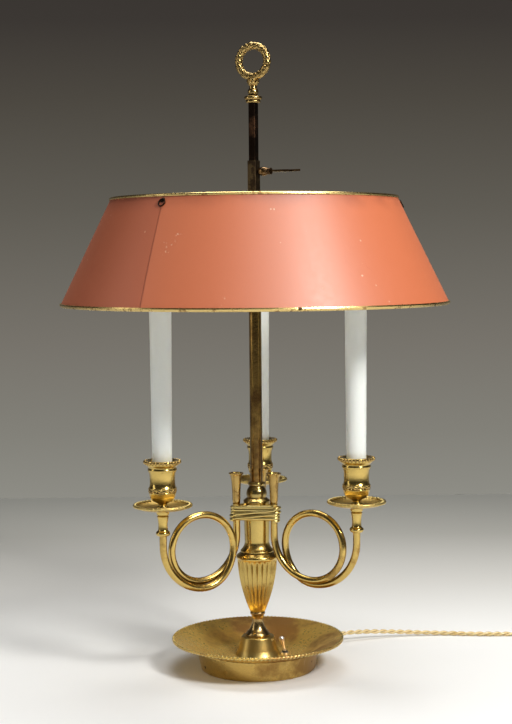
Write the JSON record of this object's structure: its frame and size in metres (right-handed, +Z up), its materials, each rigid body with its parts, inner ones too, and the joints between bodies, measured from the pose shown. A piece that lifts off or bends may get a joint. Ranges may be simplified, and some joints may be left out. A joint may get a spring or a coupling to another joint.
{
  "type": "bouillotte lamp",
  "caption": "Table lamp with a dish base, three horn-shaped arms holding candle lights, and a red metal shade that slides on a square bar and is clamped by a thumb screw.",
  "frame": {"origin": "centre of the foot ring, on the floor", "axes": "+Z up along the stem; -Y towards the viewer, between the two front arms; +X to the right"},
  "size_m": [0.6393, 0.421, 0.682],
  "materials": {
    "polished_brass": "polished and lacquered, worn",
    "pale_brass": "cast, satin",
    "aged_brass": "aged, unpolished",
    "dark_bronze": "dark brown patina",
    "shade_red": "satin coral red paint, outside; pale inside",
    "gilt_rim": "gilt, rubbed",
    "steel": "zinc plated",
    "iron": "raw casting",
    "felt": "felt",
    "nickel": "nickel plated",
    "black_plastic": "moulded",
    "rubber": "matt",
    "cord_gold": "clear sheath over twisted gold cores",
    "plug_plastic": "moulded, glossy",
    "ivory": "ivory white card tube",
    "holder_white": "moulded",
    "bulb_glass": "clear glass"
  },
  "bodies": {
    "root": {"foot_ring": "polished_brass", "dish": "polished_brass", "boss": "polished_brass", "fluted_vase": "polished_brass", "vase_neck": "polished_brass", "stem_socket": "polished_brass", "stem_tube": "polished_brass", "finial_stem": "polished_brass", "wreath_ring": "polished_brass", "stem_cap": "polished_brass", "ribbon_band": "pale_brass", "knop": "aged_brass", "square_bar": "dark_bronze", "tie_rod": "steel", "tie_nut": "steel", "ballast_disc": "iron", "base_felt": "felt", "switch_nut": "nickel", "plug_pins": "nickel", "switch_body": "black_plastic", "cord_bush": "rubber", "cord_free": "cord_gold", "cord_coil": "cord_gold", "plug_body": "plug_plastic", "horn_1": "polished_brass", "ferrule_1": "polished_brass", "drip_pan_1": "polished_brass", "candle_cup_1": "polished_brass", "candle_sleeve_1": "ivory", "holder_rod_1": "steel", "lampholder_1": "holder_white", "bulb_cap_1": "nickel", "bulb_1": "bulb_glass", "horn_2": "polished_brass", "ferrule_2": "polished_brass", "drip_pan_2": "polished_brass", "candle_cup_2": "polished_brass", "candle_sleeve_2": "ivory", "holder_rod_2": "steel", "lampholder_2": "holder_white", "bulb_cap_2": "nickel", "bulb_2": "bulb_glass", "horn_3": "polished_brass", "ferrule_3": "polished_brass", "drip_pan_3": "polished_brass", "candle_cup_3": "polished_brass", "candle_sleeve_3": "ivory", "holder_rod_3": "steel", "lampholder_3": "holder_white", "bulb_cap_3": "nickel", "bulb_3": "bulb_glass"},
    "shade": {"shade_sleeve": "aged_brass", "shade_spider": "aged_brass", "shade_screws": "dark_bronze", "shade_cone": "shade_red", "shade_top_rim": "gilt_rim", "shade_bottom_rim": "gilt_rim"},
    "key": {"thumb_screw": "aged_brass"},
    "switch": {"switch_lever": "nickel"}
  },
  "joints": [
    {"name": "shade_height", "type": "slide", "parent": "root", "child": "shade", "axis": [0, 0, 1], "range_m": [-0.036, 0.06]},
    {"name": "thumb_screw_turn", "type": "hinge", "parent": "shade", "child": "key", "pos_m": [0, 0, 0.5425], "axis": [0.8572, -0.515, 0], "range_deg": [0, 540]},
    {"name": "switch_toggle", "type": "hinge", "parent": "root", "child": "switch", "pos_m": [0.0296, -0.003, 0.018], "axis": [0, 1, 0], "range_deg": [0, 28]}
  ]
}
